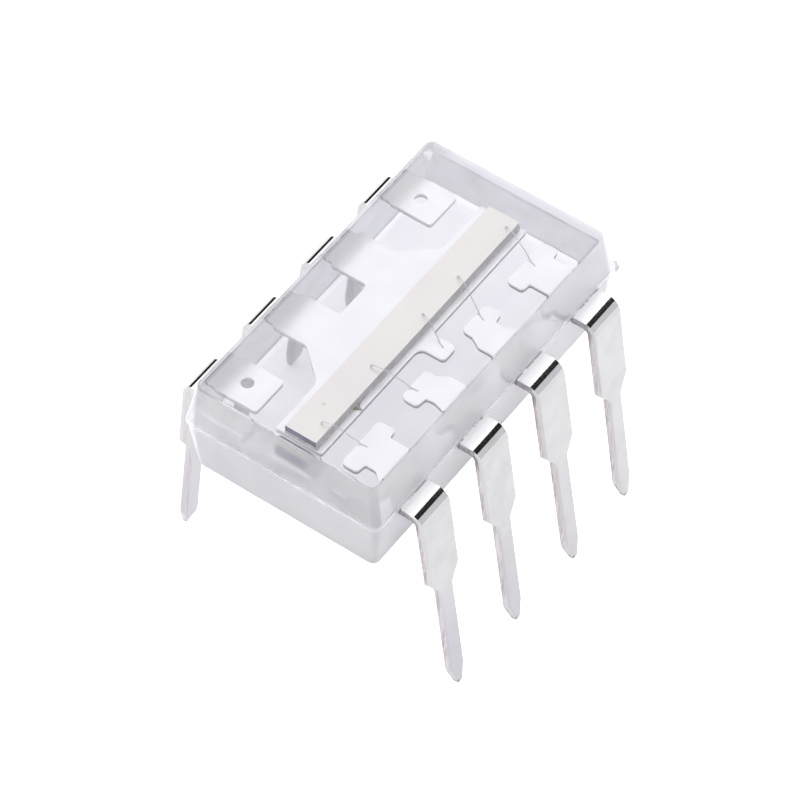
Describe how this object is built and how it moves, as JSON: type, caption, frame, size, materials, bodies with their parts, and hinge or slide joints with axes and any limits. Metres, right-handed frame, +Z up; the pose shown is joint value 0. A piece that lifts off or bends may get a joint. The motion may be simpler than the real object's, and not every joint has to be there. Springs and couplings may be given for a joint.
{
  "type": "dual in-line optical sensor chip",
  "caption": "Clear epoxy dual in-line chip package with bent tin-finished leads, a die paddle and one long narrow light-sensing die wire-bonded inside.",
  "frame": {"origin": "under the middle of the package, on the plane that the lead tips stand on", "axes": "+X across the package from row to row, +Y along its length and along both rows, +Z up through the clear window face"},
  "size_m": [0.0096, 0.0108, 0.0084],
  "materials": {
    "clear_epoxy": "clear moulded epoxy, faintly grey-violet, polished window, fine matt sides",
    "tinned_lead": "bright tin outside, silver plate inside, smooth with fine drawn lines",
    "adhesive": "silver-filled epoxy",
    "die": "passivated silicon, beige sheen",
    "gold_wire": "bright gold"
  },
  "bodies": {
    "root": {"clear_epoxy_body": "clear_epoxy", "lead_pin_1": "tinned_lead", "lead_pin_2": "tinned_lead", "lead_pin_3": "tinned_lead", "lead_pin_4": "tinned_lead", "lead_pin_5": "tinned_lead", "lead_pin_8": "tinned_lead", "die_paddle_with_ground_leads": "tinned_lead", "die_attach_adhesive": "adhesive", "sensor_die": "die", "bond_wire_pin_1": "gold_wire", "bond_wire_pin_2": "gold_wire", "bond_wire_pin_3": "gold_wire", "bond_wire_pin_4": "gold_wire", "bond_wire_ground": "gold_wire"}
  },
  "joints": []
}
